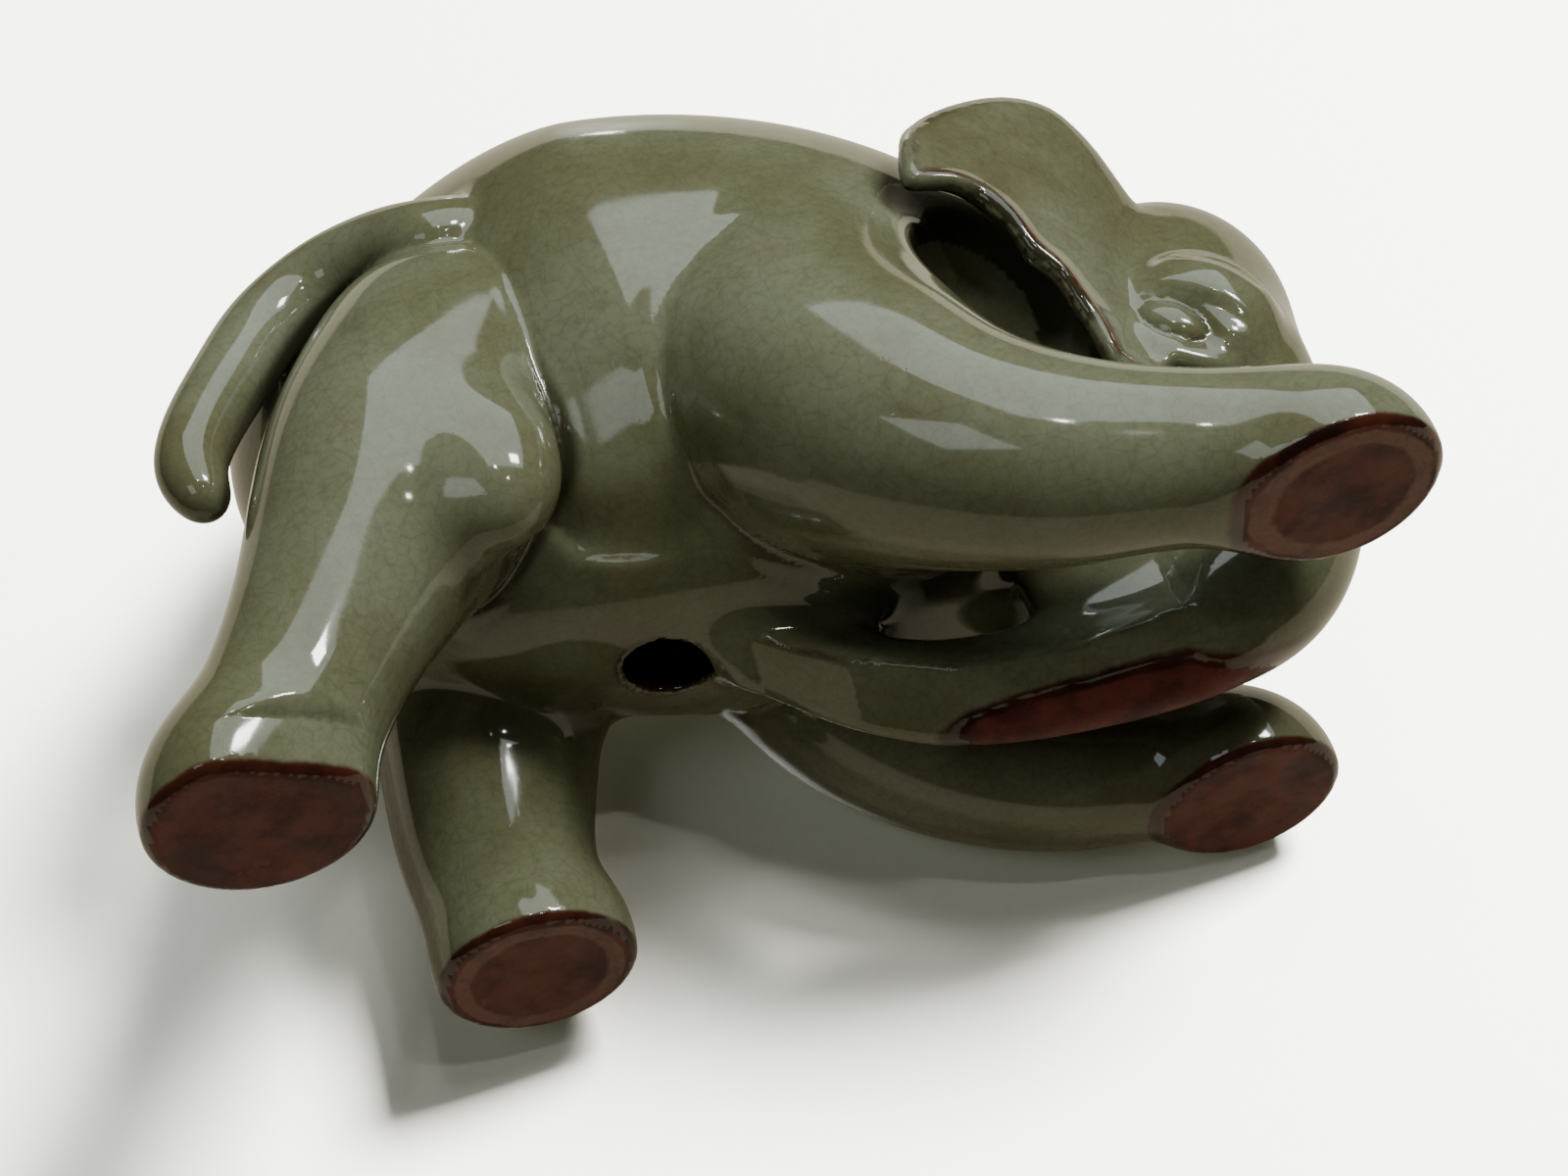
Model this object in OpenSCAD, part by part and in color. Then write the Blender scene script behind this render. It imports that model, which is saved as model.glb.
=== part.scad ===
// Striding elephant figurine in glazed stoneware, put together from separate clay members.
// It stands on +Z with its head towards +X. Its right side is -Y.

/* [Barrel] */
// Radius of the barrel at its widest
barrel_r = 27.6; // [26.8:0.2:28.4]
// Length of the barrel from its widest ring back to the rump
rump_l = 34; // [33:0.5:35]
// Length of the barrel from its widest ring forward to the neck
neck_l = 46; // [45:0.5:47]
// Height of the middle of the widest ring
barrel_z = 45.2; // [44.7:0.25:46.2]
// How far the barrel slopes down towards the head, in degrees
barrel_slope = 18; // [16:0.5:20]
// Wall of the hollow barrel
wall_t = 4; // [3.4:0.2:4.6]

/* [Vent hole] */
// Diameter of the vent hole in the belly
vent_d = 7; // [6:0.5:8]

/* [Legs] */
// Radius of a foot at the ground
foot_r = 9.3; // [9:0.1:9.8]
// Radius of a hind ankle
hind_ankle_r = 7.4; // [7:0.1:7.8]
// Radius of a front ankle
front_ankle_r = 6.8; // [6.4:0.1:7.2]
// Radius of a hip
hip_r = 13; // [12.5:0.1:13.5]
// Radius of a shoulder
shoulder_r = 14; // [13.5:0.1:14.5]
// Distance between the hind feet across the body
hind_gauge = 31; // [30:0.5:32]
// Distance between the front feet across the body
front_gauge = 39; // [38:0.5:40]
// How far the left hind foot stands ahead of the right one
hind_stride = 16; // [15:0.5:17]
// How far the right front foot stands ahead of the left one
front_stride = 5.5; // [4.5:0.5:6.5]

/* [Head] */
// Radius of the dome of the head
head_r = 13.5; // [13.2:0.1:14]
// Height of the middle of the head
head_z = 33; // [32.5:0.25:33.5]
// Radius of an eyeball
eye_r = 1.8; // [1.5:0.1:2]

/* [Trunk] */
// Radius of the trunk under the brow
trunk_root_r = 9; // [8.6:0.1:9.4]
// Radius of the trunk where it lies on the ground
trunk_ground_r = 5; // [4.8:0.1:5.4]
// Radius of the tip of the trunk
trunk_tip_r = 3; // [2.6:0.1:3.4]

/* [Ears] */
// Thickness of an ear
ear_t = 2.4; // [2:0.1:2.8]
// Radius that an ear is dished to
ear_dish_r = 40; // [36:1:44]
// Radius of the curved edges of an ear
ear_edge_r = 19; // [18:0.5:20]

/* [Tail] */
// Radius of the tail over the rump
tail_r = 3.6; // [3.2:0.1:4]
// Radius of the tip of the tail
tail_tip_r = 2.2; // [1.8:0.1:2.6]

/* [Soles] */
// Thickness of the bare clay on a sole
sole_t = 0.8; // [0.6:0.1:1]
// Radius of the bare clay on a sole
sole_r = 8.6; // [8:0.1:8.8]
// Length of the bare patch under the trunk
rest_l = 20; // [18:0.5:22]
// Width of the bare patch under the trunk
rest_w = 5; // [4:0.25:5.5]

/* [Hidden] */

// The origin is on the ground under the middle of the whole figure
origin_x = 2.4;

glaze = [0.36, 0.4, 0.34];
glaze_deep = [0.3, 0.35, 0.29];
bare_clay = [0.33, 0.14, 0.15];

smooth = 48;
big = 200;

barrel_x = -10;
vent_x = -12.5;

hind_y = hind_gauge / 2;
front_y = front_gauge / 2;
hind_foot_x = -45;
front_foot_x = 40;

// A leg is [top of the limb, its ankle, middle of the foot, top radius, ankle radius]
REAR_RIGHT = [[-24, -12.5, 41], [-42.5, -hind_y - 0.2, 9], [hind_foot_x, -hind_y], hip_r, hind_ankle_r];
REAR_LEFT = [[-25.5, 12.5, 40], [-29.8, hind_y, 9], [hind_foot_x + hind_stride, hind_y],
    hip_r - 0.5, hind_ankle_r + 0.4];
FRONT_RIGHT = [[7, -14, 30.5], [32.5, -front_y - 0.4, 7.6], [front_foot_x, -front_y],
    shoulder_r, front_ankle_r];
FRONT_LEFT = [[7, 13.5, 29.5], [28, front_y + 0.2, 7.6], [front_foot_x - front_stride, front_y],
    shoulder_r - 1, front_ankle_r];

head_x = 35.5;
head_nod = 38;

// The trunk and the tail are lists of rows [x, y, z, radius] along their middle lines
TRUNK = [
    [38, 0, head_z - 6, trunk_root_r],
    [41.5, 0, head_z - 15, trunk_root_r - 1],
    [37.5, 0, 9, trunk_ground_r + 1.8],
    [30, 0, trunk_ground_r + 0.4, trunk_ground_r + 0.6],
    [20, 0, trunk_ground_r - 0.2, trunk_ground_r],
    [10, 0, trunk_ground_r + 1.4, trunk_ground_r - 0.5],
    [2, 0, trunk_ground_r + 5.5, trunk_ground_r - 1],
    [-4, 0, trunk_ground_r + 9.5, trunk_tip_r]];

TAIL = [
    [-22, -18, 54, tail_r],
    [-31.5, -15.5, 56.5, tail_r],
    [-38.5, -15.5, 52, tail_r - 0.2],
    [-45.5, -17.5, 40, tail_r - 0.6],
    [-46, -17, 32.5, tail_tip_r]];

// ---- points of a swept member ----

function between(rows, i, t) =
    let (a = rows[i - 1], b = rows[i], c = rows[i + 1], d = rows[i + 2])
    0.5 * (2 * b + (c - a) * t + (2 * a - 5 * b + 4 * c - d) * t * t
        + (3 * b - a - 3 * c + d) * t * t * t);

// Smooth curve through the rows, with a number of steps to each span
function curve(rows, steps) =
    let (last = len(rows) - 1)
    let (wide = concat([2 * rows[0] - rows[1]], rows, [2 * rows[last] - rows[last - 1]]))
    concat([for (i = [1 : last]) for (j = [0 : steps - 1]) between(wide, i, j / steps)],
        [rows[last]]);

function place(row) = [row[0], row[1], row[2]];
function unit(v) = v / norm(v);
function along(rows, i) =
    unit(place(rows[min(i + 1, len(rows) - 1)]) - place(rows[max(i - 1, 0)]));

// Ring of points round a middle line that heads along dir
function ring(middle, dir, radius, sides) =
    let (side = unit(cross(dir, [0.02, 1, 0.03])))
    let (over = cross(dir, side))
    [for (k = [0 : sides - 1])
        middle + radius * (cos(360 * k / sides) * side + sin(360 * k / sides) * over)];

cap_angles = [70, 35];

function start_cap(row, dir, sides) =
    [for (a = cap_angles) ring(place(row) - dir * row[3] * sin(a), dir, row[3] * cos(a), sides)];

function end_cap(row, dir, sides) =
    [for (k = [len(cap_angles) - 1 : -1 : 0])
        let (a = cap_angles[k])
        ring(place(row) + dir * row[3] * sin(a), dir, row[3] * cos(a), sides)];

function member_rings(rows, sides, steps) =
    let (fine = curve(rows, steps))
    let (last = len(fine) - 1)
    concat(start_cap(fine[0], along(fine, 0), sides),
        [for (i = [0 : last]) ring(place(fine[i]), along(fine, i), fine[i][3], sides)],
        end_cap(fine[last], along(fine, last), sides));

// ---- solids ----

// Closed skin over a list of rings
module skin(rings) {
    sides = len(rings[0]);
    count = len(rings);
    points = [for (r = rings) for (p = r) p];
    walls = [for (i = [0 : count - 2]) for (k = [0 : sides - 1])
        let (a = i * sides + k, b = i * sides + (k + 1) % sides)
        [a, b, b + sides, a + sides]];
    first = [for (k = [sides - 1 : -1 : 0]) k];
    final = [for (k = [0 : sides - 1]) (count - 1) * sides + k];
    polyhedron(points, concat(walls, [first, final]), convexity = 6);
}

module standing(tone) {
    color(tone) translate([origin_x, 0, 0]) children();
}

// Radius of the barrel at a distance ahead of its widest ring
function barrel_at(s, by) = s < 0
    ? (barrel_r - by) * pow(max(0, 1 - pow(s / (rump_l - by), 2)), 0.5)
    : (barrel_r - by) * pow(max(0, 1 - pow(s / (neck_l - by), 2)), 0.62);

barrel_steps = 9;

function barrel_side(by) =
    concat([for (k = [0 : barrel_steps]) let (s = -(rump_l - by) * cos(90 * k / barrel_steps))
            [barrel_at(s, by), s]],
        [for (k = [1 : barrel_steps]) let (s = (neck_l - by) * sin(90 * k / barrel_steps))
            [barrel_at(s, by), s]]);

function reversed(list) = [for (k = [len(list) - 1 : -1 : 0]) list[k]];

module on_barrel_axis() {
    translate([barrel_x, 0, barrel_z]) rotate([0, 90 + barrel_slope, 0]) children();
}

module barrel_form() {
    on_barrel_axis() rotate([0, 0, 90]) rotate_extrude($fn = smooth) polygon(barrel_side(0));
}

module half_shell() {
    difference() {
        on_barrel_axis()
            rotate_extrude(angle = 180, $fn = smooth)
                polygon(concat(barrel_side(0), reversed(barrel_side(wall_t))));
        translate([vent_x, 0, 0]) rotate([0, 0, 45]) cylinder(h = barrel_z, d = vent_d, $fn = smooth);
    }
}

// Dome of the head, turned about an axis that nods down to the trunk
module head_form() {
    translate([head_x, 0, head_z]) rotate([0, 90 + head_nod, 0]) rotate([0, 0, 90])
        rotate_extrude($fn = smooth)
            polygon([for (a = [-90 : 12 : 90]) [head_r * cos(a), (head_r + 0.5) * sin(a)]]);
}

// Turned limb that starts with a round top and ends in a round ankle
module limb(top, ankle, top_r, ankle_r) {
    way = ankle - top;
    l = norm(way);
    translate(top)
        rotate([0, acos(way[2] / l), atan2(way[1], way[0])])
            rotate_extrude($fn = smooth)
                polygon(concat(
                    [for (a = [0 : 18 : 72]) [top_r * sin(a), -top_r * cos(a)]],
                    [for (t = [0 : 0.25 : 1])
                        [ankle_r + (top_r - ankle_r) * pow(1 - t, 1.15), l * t]],
                    [for (a = [30 : 30 : 90]) [ankle_r * cos(a), l + ankle_r * sin(a)]]));
}

// Flared foot, flat underneath
module foot(at, ankle_r) {
    translate([at[0], at[1], 0])
        rotate_extrude($fn = smooth)
            polygon([[0, sole_t], [foot_r - 0.4, sole_t], [foot_r, sole_t + 1], [foot_r - 0.5, 4],
                [ankle_r + 0.6, 8], [ankle_r - 1.5, 11], [0, 12]]);
}

module leg(spec) {
    difference() {
        intersection() {
            union() {
                limb(spec[0], spec[1], spec[3], spec[4]);
                foot(spec[2], spec[4]);
            }
            translate([-big / 2, -big / 2, sole_t]) cube(big);
        }
        barrel_form();
    }
}

// Disc of bare clay under a foot
module sole(spec) {
    standing(bare_clay) translate([spec[2][0], spec[2][1], 0])
        cylinder(h = sole_t, r = sole_r, $fn = smooth);
}

ear_root = [34.5, -11.5, 35];

// Dished leaf between two curved edges, over a head that is cut away
module ear_form() {
    difference() {
        translate(ear_root)
            rotate([0, 0, 28]) rotate([12, 0, 0]) rotate([0, 28, 0])
                intersection() {
                    translate([-9, ear_dish_r - 3, 0]) difference() {
                        sphere(ear_dish_r, $fn = smooth);
                        sphere(ear_dish_r - ear_t, $fn = smooth);
                    }
                    translate([-7.5, 10, 2.5]) rotate([90, 0, 0]) cylinder(h = 30, r = 15, $fn = smooth);
                    translate([-14, 10, -3.5]) rotate([90, 0, 0]) cylinder(h = 30, r = ear_edge_r, $fn = smooth);
                }
        head_form();
        barrel_form();
    }
}

module eyeball(side) {
    translate([43.8, side * 8.8, 30]) sphere(eye_r, $fn = smooth);
}

// ---- sub-parts ----

module body_left_half() {
    standing(glaze) half_shell();
}

module body_right_half() {
    standing(glaze) mirror([0, 1, 0]) half_shell();
}

module head() {
    standing(glaze) difference() {
        head_form();
        barrel_form();
        eyeball(-1);
        eyeball(1);
    }
}

module lower_lip() {
    standing(glaze_deep) difference() {
        limb([head_x - 4.5, 0, head_z - 9], [head_x - 10, 0, head_z - 16.5], 5, 3);
        head_form();
        barrel_form();
    }
}

module trunk() {
    standing(glaze) difference() {
        skin(member_rings(TRUNK, 20, 3));
        head_form();
        barrel_form();
        translate([-big / 2, -big / 2, -big + sole_t]) cube(big);
    }
}

module ear_right() {
    standing(glaze) ear_form();
}

module ear_left() {
    standing(glaze) mirror([0, 1, 0]) ear_form();
}

module tail() {
    standing(glaze_deep) difference() {
        skin(member_rings(TAIL, 16, 3));
        barrel_form();
        limb(REAR_RIGHT[0], REAR_RIGHT[1], hip_r, hind_ankle_r);
    }
}

module front_leg_right() {
    standing(glaze) leg(FRONT_RIGHT);
}

module front_leg_left() {
    standing(glaze_deep) leg(FRONT_LEFT);
}

module rear_leg_right() {
    standing(glaze) leg(REAR_RIGHT);
}

module rear_leg_left() {
    standing(glaze_deep) leg(REAR_LEFT);
}

module sole_front_right() {
    sole(FRONT_RIGHT);
}

module sole_front_left() {
    sole(FRONT_LEFT);
}

module sole_rear_right() {
    sole(REAR_RIGHT);
}

module sole_rear_left() {
    sole(REAR_LEFT);
}

module trunk_rest() {
    standing(bare_clay) translate([22, 0, 0])
        linear_extrude(sole_t)
            polygon([for (k = [0 : 23]) [rest_l / 2 * cos(15 * k), rest_w / 2 * sin(15 * k)]]);
}

module eye_right() {
    standing(glaze_deep) eyeball(-1);
}

module eye_left() {
    standing(glaze_deep) eyeball(1);
}

body_right_half();
body_left_half();
head();
lower_lip();
trunk();
ear_right();
ear_left();
tail();
front_leg_right();
front_leg_left();
rear_leg_right();
rear_leg_left();
sole_front_right();
sole_front_left();
sole_rear_right();
sole_rear_left();
trunk_rest();
eye_right();
eye_left();
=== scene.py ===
"""A hollow elephant in celadon glaze, sculpted as one skin and parted along its joints.

The sculpture is a signed distance in millimetres: limbs, head, ears and tail run together
softly, and a fine mesh is drawn over the result. Each face then goes to the CAD node it covers.
"""

import math

import bpy
import numpy as np
from mathutils import Matrix, Vector


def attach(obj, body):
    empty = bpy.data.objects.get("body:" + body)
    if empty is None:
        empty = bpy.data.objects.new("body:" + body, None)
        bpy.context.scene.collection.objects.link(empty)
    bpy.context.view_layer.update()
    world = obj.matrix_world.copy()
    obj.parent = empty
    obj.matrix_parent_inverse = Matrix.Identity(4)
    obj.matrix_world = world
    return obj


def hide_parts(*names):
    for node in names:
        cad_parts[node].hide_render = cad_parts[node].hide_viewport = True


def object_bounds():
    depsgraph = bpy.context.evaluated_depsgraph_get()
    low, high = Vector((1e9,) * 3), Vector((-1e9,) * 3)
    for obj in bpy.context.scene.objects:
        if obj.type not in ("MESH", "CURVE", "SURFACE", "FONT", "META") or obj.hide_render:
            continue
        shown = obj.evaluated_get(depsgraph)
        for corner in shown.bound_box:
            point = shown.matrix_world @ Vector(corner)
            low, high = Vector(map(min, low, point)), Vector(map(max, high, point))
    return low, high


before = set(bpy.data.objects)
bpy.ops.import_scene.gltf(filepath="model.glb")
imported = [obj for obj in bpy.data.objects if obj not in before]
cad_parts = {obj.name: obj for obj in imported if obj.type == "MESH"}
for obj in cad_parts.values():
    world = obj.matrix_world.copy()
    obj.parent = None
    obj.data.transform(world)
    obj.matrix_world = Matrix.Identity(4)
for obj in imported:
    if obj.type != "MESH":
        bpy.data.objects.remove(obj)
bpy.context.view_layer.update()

MM = 0.001
CENTRE_X = 2.4  # the sculpture's own origin stands this far behind the middle of the box, in mm
VOXEL = 0.5

# Centre lines: x, y, z, radius, in mm.
BODY = [
    (-27, 0, 49, 17), (-21, 0, 47.3, 24), (-12, 0, 45.4, 28.4), (0, 0, 42.4, 27.4),
    (10, 0, 39.3, 22.7), (20, 0, 37.0, 15.6), (28, 0, 36, 12.5),
]
NECK = [(6, 0, 31, 15.5), (15, 0, 28.2, 12.6), (24, 0, 26.8, 11), (31, 0, 26, 8.5)]
REAR_RIGHT = [
    (-23, -12, 42, 13), (-29, -15, 31, 11.8), (-36, -16, 18.5, 8.4),
    (-41.5, -15.8, 9, 7.4), (-44.9, -15.4, 3.2, 8.9), (-45.3, -15.3, 1.6, 9.6),
]
REAR_LEFT = [
    (-25, 12, 40, 12.5), (-28, 14.5, 28, 10.5), (-30, 15.5, 16, 8.8),
    (-30, 15.5, 8.5, 8.0), (-29.2, 15.5, 3.2, 8.8), (-29, 15.5, 1.6, 9.4),
]
FRONT_RIGHT = [
    (3, -13, 33, 13.5), (7, -16.5, 24.5, 12.5), (13, -18.7, 16, 10), (21, -19.8, 10.2, 8.2),
    (30, -20, 7.2, 6.9), (37.5, -19.7, 4.2, 7.6), (40.3, -19.6, 1.8, 8.8),
]
FRONT_LEFT = [
    (2, 13, 32, 13), (6, 16.5, 23, 12), (12, 18.5, 14.8, 9.8), (20, 19.6, 9.6, 8.2),
    (28, 19.7, 7, 6.9), (32.8, 19.6, 4, 7.8), (34.7, 19.6, 1.8, 9),
]
TRUNK = [
    (38, 0, 28, 10), (41.5, 0, 18, 8.2), (37.8, 0, 9.3, 7.0), (30, 0, 5.4, 5.7),
    (20, 0, 4.7, 5), (10, 0, 6.0, 4.6), (2, 0, 10.0, 4), (-5, 0, 15.4, 3),
]
TAIL = [
    (-14, -15, 57, 3.4), (-20.9, -19, 52, 4.3), (-25.5, -17.3, 54.6, 4.2), (-31.5, -15, 56, 3.9),
    (-37.5, -14.8, 52.4, 3.6), (-41.6, -16, 45.5, 3.4), (-44.6, -17, 39.4, 3.2), (-45.7, -17.5, 35, 2.9),
    (-44.9, -17.2, 31.8, 2.3),
]
LIP = [(35, 0, 21.5, 7.4), (30.5, 0, 17.2, 5.6), (25.5, 0, 14.2, 4.0), (20.5, 0, 13.2, 2.4)]
# The trunk's underside and near side are pared flat: x, height of its middle, radius.
TRUNK_LINE = np.array(
    [(-5, 15.4, 3), (2, 10, 4), (10, 6, 4.6), (20, 4.7, 5), (30, 5.4, 5.7), (36, 8, 6.6)], float
)
UNDERSIDE, NEAR_SIDE = (-0.49, -0.87, 0.62), (-0.90, 0.43, 0.76)
PARED_TO, PARED_FADE = 29, 0.6  # the flats end here, and fade out at this rate
# The flat on the near hind foot: its plane, a point above it, how far out it lies and where it ends.
HEEL_FLAT, HEEL_AT, HEEL_OUT = (0.48, -0.81, -0.33), (-45, -15.6), 6.0
HEEL_TOP, HEEL_FADE = 4, 1.2
HEAD_AT, HEAD_R = (35.5, 0, 33), (13.5, 12.5, 13.5)
CHEEK_AT, CHEEK_R = (40.5, 6.5, 27.5), (6.5, 5, 8)
CROWN_AT, CROWN_R = (39.6, 0, 38.2), (11.6, 10.8, 13.0)
HOLLOW_AT, HOLLOW_R = (23.5, 16.0, 34.0), (7.8, 6.6, 8.6)
KNEE_AT, KNEE_R = (-21.5, -20.5, 24), (5, 4.5, 7)

# The ear: its root on the head, the way it runs back, the way it stands, and its outline in that plane.
EAR_ROOT = np.array([34.8, -11.5, 34.8])
EAR_ALONG = np.array([-0.746, -0.494, 0.447])
EAR_RISE = np.array([0.406, 0.195, 0.893])
EAR_FACE = np.array([0.528, -0.848, -0.055])
EAR_EDGE = [
    (-5, 6), (-3.5, 10.5), (-0.6, 11.8), (2.1, 13.5), (6, 16), (10.8, 17.3), (15.6, 15.2), (19.9, 10.5),
    (22.3, 5.9), (22.9, 1.5), (22.2, -2.6), (21, -4), (18.2, -2.8), (15.6, -2.6), (12.9, -4.3),
    (10.3, -6.4), (7.2, -7.6), (3.7, -9.9), (0.5, -13.1), (-4, -12.5), (-5, -4),
]

# Its length and half its thickness, its bow, and how far its lower and upper rims turn out and in.
EAR_LENGTH, EAR_HALF, EAR_BOW = 23, 1.1, 1.6
EAR_RIM, EAR_FLARE, EAR_ROLL = 1.5, 0.5, 0.8

# The eye: its middle, the way the lids run, and the way it looks.
EYE_AT = np.array([38.9, -12.0, 28.6])
EYE_RUN = np.array([0.748, 0.116, -0.653])
EYE_LOOK = np.array([0.05, -0.98, -0.17])

# The vent's bore: x, y, height of its middle and half its length, then its radius and soft lip.
VENT_AT, VENT_R, VENT_LIP = (-12.1, 0.5, 22.6, 12), 3.5, 0.6
# The hollow behind it, and how near to it a face counts as its wall.
CAVITY_AT, CAVITY_R, CAVITY_SKIN = (-12.0, 0.0, 34.0), (17, 14, 13.8), 0.6
# The bare oval under the trunk.
REST_AT, REST_HALF = (22.2, 1.4), (13.0, 2.6)
# Bare clay: how far it stops inside the foot's edge, where the glaze starts above the ground and how
# fast it closes above that, how far past its own radius a foot counts, and the same for the trunk.
SOLE_INSET, GLAZE_LINE, GLAZE_RISE, FOOT_MARGIN = 0.55, 0.35, 1.6, 0.4
PATCH_LINE, PATCH_RISE = 2.6, 1.2
# How strongly a sole shows the pale ring that the shelf has rubbed.
RUBBED = {"sole_front_right": 1.0, "sole_rear_left": 0.9, "sole_rear_right": 0.15, "sole_front_left": 0.1}
# The skin fold low on each flank: its lowest point, half its length and how far its ends rise, in mm.
# It starts at the y of that point and runs outwards.
FOLD_AT, FOLD_HALF, FOLD_RISE = (-9.5, 11.0, 20.6), 7.5, 2.2
FOLD_DEPTH, FOLD_WIDTH = 0.75, 1.6
FAR = 40.0  # the distance given to anything out of a member's reach
REACH = 9  # how far round a member its distance is worked out
# The barrel loses this share of its width over a stretch that starts behind x.
RUMP_NARROW, RUMP_FROM, RUMP_OVER = 0.24, -8, 18
# The sculpting grid: its box, how many cells from the skin are refined, and its value further out.
GRID_LOW, GRID_HIGH = (-60.0, -34.0, -4.0), (58.0, 34.0, 80.0)
NEAR_BAND, OUTSIDE = 1.35, 9.0

# How softly forms run together, in mm: the balls of a limb, then one form into the next.
MELT = 0.5
CHEEK_MELT, CROWN_MELT, NECK_MELT, KNEE_MELT = 4, 3, 4, 5
HEEL_MELT, PARED_MELT = 1.5, 0.9
TRUNK_MELT, FACE_MELT, HOLLOW_MELT, VENT_MELT = 5, 3.5, 4, 1.5
DOME_MELT, BROW_MELT, SOCKET_MELT, LID_MELT, CREASE_MELT = 2.4, 1.0, 1.2, 1.2, 0.9
SOLE_EDGE, EYE_EDGE = 0.9, 0.15
# Softness and groove depth where one member is luted to the next.
LIP_SEAM, EAR_SEAM, TAIL_SEAM = (2.0, 0.2), (1.8, 0.1), (1.0, 0.15)
# Ahead of here the legs run in more softly, until the groove is gone.
SOFT_FROM, SOFT_OVER, SOFTER = 1, 9, 5
# The bead of glaze round bare clay: its height, how far out it lies and its width.
BEAD, BEAD_AT, BEAD_WIDTH = 0.10, 0.15, 0.45


def smin(a, b, k):
    h = np.clip(0.5 + 0.5 * (b - a) / k, 0, 1)
    return b + (a - b) * h - k * h * (1 - h)


def smax(a, b, k):
    return -smin(-a, -b, k)


def seam(a, b, k, depth, width=0.9):
    """Two members run together with a shallow groove along the line where they meet."""
    return smin(a, b, k) + depth * np.exp(-(((a - b) / width) ** 2))


def unit(v):
    v = np.asarray(v, float)
    return v / np.linalg.norm(v)


def spline(rows, n):
    rows = np.asarray(rows, float)
    rows = np.vstack([2 * rows[0] - rows[1], rows, 2 * rows[-1] - rows[-2]])
    t = (np.arange(n) / n)[:, None]
    out = []
    for a, b, c, d in zip(rows, rows[1:], rows[2:], rows[3:]):
        bend = (2 * a - 5 * b + 4 * c - d) * t**2 + (3 * b - a - 3 * c + d) * t**3
        out.append(0.5 * (2 * b + (c - a) * t + bend))
    return np.vstack([*out, rows[-2:-1]])


def tube(rows, n=6, squash=(1, 1, 1)):
    """A smooth limb along a curve: many balls run together, each drawn in by what its neighbours add."""
    s = np.asarray(squash, float)
    line = spline(rows, n)
    line[:, :3] /= s
    spacing = np.linalg.norm(np.gradient(line[:, :3], axis=0), axis=1)
    swell = MELT * np.log(np.maximum(np.sqrt(2 * math.pi * MELT * line[:, 3]) / spacing, 1))
    balls, radii = line[:, :3].astype(np.float32), (line[:, 3] - swell).astype(np.float32)
    squares = (balls**2).sum(1)

    def distance(p):
        q = (p / s).astype(np.float32)
        d2 = (q * q).sum(1)[:, None] - 2 * (q @ balls.T) + squares
        d = np.sqrt(np.maximum(d2, 1e-4)) - radii
        least = d.min(1)
        total = np.exp((least[:, None] - d) / np.float32(MELT)).sum(1)
        return (least - MELT * np.log(total)).astype(float) * s.min()

    reach = line[:, 3:4] + REACH
    return near(distance, ((line[:, :3] - reach) * s).min(0), ((line[:, :3] + reach) * s).max(0))


def ellipsoid(at, radii):
    at, radii = np.asarray(at, float), np.asarray(radii, float)

    def distance(p):
        q = (p - at) / radii
        k0 = np.sqrt((q**2).sum(1))
        return k0 * (k0 - 1) / (np.sqrt(((q / radii) ** 2).sum(1)) + 1e-9)

    return near(distance, at - radii - REACH, at + radii + REACH)


def near(distance, low, high):
    """The distance, worked out only inside a box round the member."""

    def limited(p):
        d = np.full(len(p), FAR)
        inside = ((p > low) & (p < high)).all(1)
        d[inside] = distance(p[inside])
        return d

    return limited


def flipped(p):
    return p * np.array([1.0, -1.0, 1.0])


def outline_distance(q, corners):
    """Signed distance to a closed outline in a plane, negative inside."""
    best = np.full(len(q), 1e9)
    sign = np.ones(len(q))
    for a, b in zip(corners, np.roll(corners, -1, 0)):
        e, w = b - a, q - a
        t = np.clip((w @ e) / (e @ e), 0, 1)
        best = np.minimum(best, ((w - t[:, None] * e) ** 2).sum(1))
        above, below = q[:, 1] >= a[1], q[:, 1] < b[1]
        left = e[0] * w[:, 1] > e[1] * w[:, 0]
        sign = np.where((above & below & left) | (~above & ~below & ~left), -sign, sign)
    return sign * np.sqrt(best)


ear_outline = spline(EAR_EDGE + EAR_EDGE[:1], 3)[:-1]


def right_ear(p):
    v = p - EAR_ROOT
    a, b, c = v @ EAR_ALONG, v @ EAR_RISE, v @ EAR_FACE
    e = outline_distance(np.stack([a, b], 1), ear_outline)
    out = np.clip(a / EAR_LENGTH, 0, 1)
    low_side = np.clip(-(b - 4 - 2 * out) / 5, 0, 1)
    rim = np.exp(-((e / EAR_RIM) ** 2))
    ripple = 1 + 0.3 * np.sin(a * 1.15)
    curl = EAR_BOW * np.sin(out * math.pi) + EAR_FLARE * rim * low_side * ripple
    curl = curl - EAR_ROLL * (1 - low_side) * np.exp(-(((e + 0.2) / EAR_RIM) ** 2))
    thick = EAR_HALF + 0.1 * rim
    return smax(np.abs(c - curl) - thick, e, EAR_RIM)


ear = near(right_ear, np.array([8.0, -34.0, 12.0]), np.array([52.0, -1.0, 64.0]))


def eye_axes():
    look = unit(EYE_LOOK)
    run = unit(EYE_RUN - (EYE_RUN @ look) * look)
    rise = np.cross(look, run)
    return np.stack([run, rise if rise[2] > 0 else -rise, look], 1)


EYE_AXES = eye_axes()


def arc(half, base, rise, out, r, n=9):
    """A bowed line on the face, in the eye's own axes: along, up, outwards, radius."""
    a = np.linspace(-1, 1, n)
    return np.stack([a * half, base + rise * (1 - a * a), out - 0.6 * a * a, r * (1 - 0.5 * a * a)], 1)


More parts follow.
